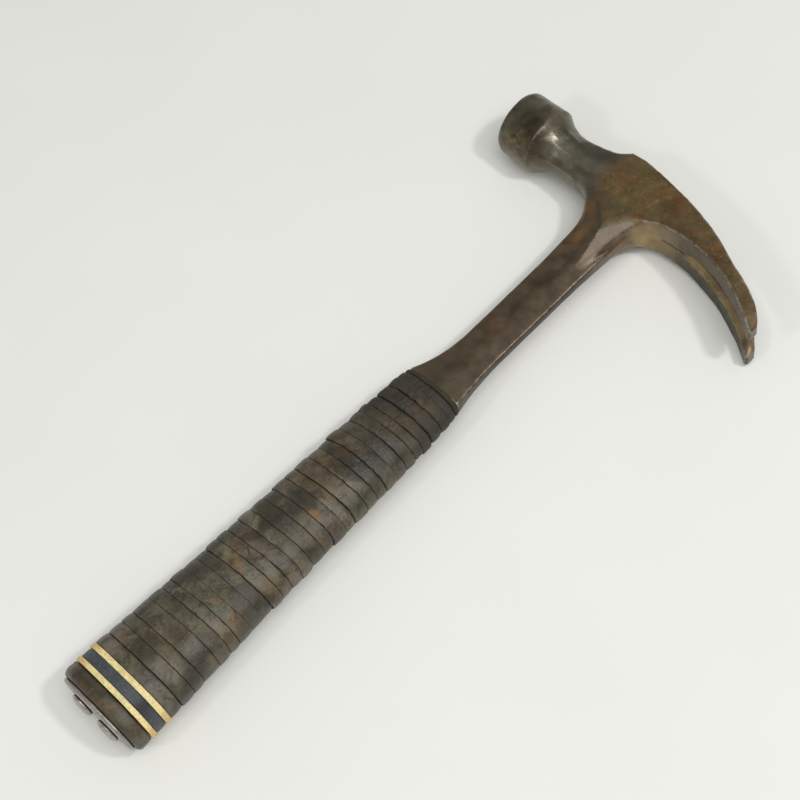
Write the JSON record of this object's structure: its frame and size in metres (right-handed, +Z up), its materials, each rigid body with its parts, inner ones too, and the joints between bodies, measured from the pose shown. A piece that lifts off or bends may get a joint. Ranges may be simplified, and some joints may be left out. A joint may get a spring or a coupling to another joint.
{
  "type": "claw hammer",
  "caption": "One-piece forged steel claw hammer with a round striking face, a slotted curved claw and a stacked leather washer grip.",
  "frame": {"origin": "bottom centre of the tool's bounding box, lying on its cheek", "axes": "+X along the handle from the end cap to the head, +Y in the striking direction, +Z up through the flat of the tool"},
  "size_m": [0.2972, 0.1368, 0.028],
  "materials": {
    "forged_steel": "dark patina over forged steel, bright on the worn edges and the bell",
    "cap_steel": "dull worn steel",
    "leather": "dark, polished by use",
    "butt_leather": "dark, polished by use",
    "yellow_fibre": "worn vulcanised fibre",
    "dark_fibre": "worn vulcanised fibre"
  },
  "bodies": {
    "root": {"butt_washer": "butt_leather", "end_cap": "cap_steel", "forged_head_and_tang": "forged_steel", "leather_washer_01": "leather", "leather_washer_02": "leather", "leather_washer_03": "leather", "leather_washer_04": "leather", "leather_washer_05": "leather", "leather_washer_06": "leather", "leather_washer_07": "leather", "leather_washer_08": "leather", "leather_washer_09": "leather", "leather_washer_10": "leather", "leather_washer_11": "leather", "leather_washer_12": "leather", "leather_washer_13": "leather", "leather_washer_14": "leather", "leather_washer_15": "leather", "leather_washer_16": "leather", "leather_washer_17": "leather", "leather_washer_18": "leather", "leather_washer_19": "leather", "leather_washer_20": "leather", "leather_washer_21": "leather", "leather_washer_22": "leather", "leather_washer_23": "leather", "leather_washer_24": "leather", "leather_washer_25": "leather", "leather_washer_26": "leather", "leather_washer_27": "leather", "leather_washer_28": "leather", "spacer_dark": "dark_fibre", "spacer_yellow_lower": "yellow_fibre", "spacer_yellow_upper": "yellow_fibre", "top_washer": "leather"}
  },
  "joints": []
}
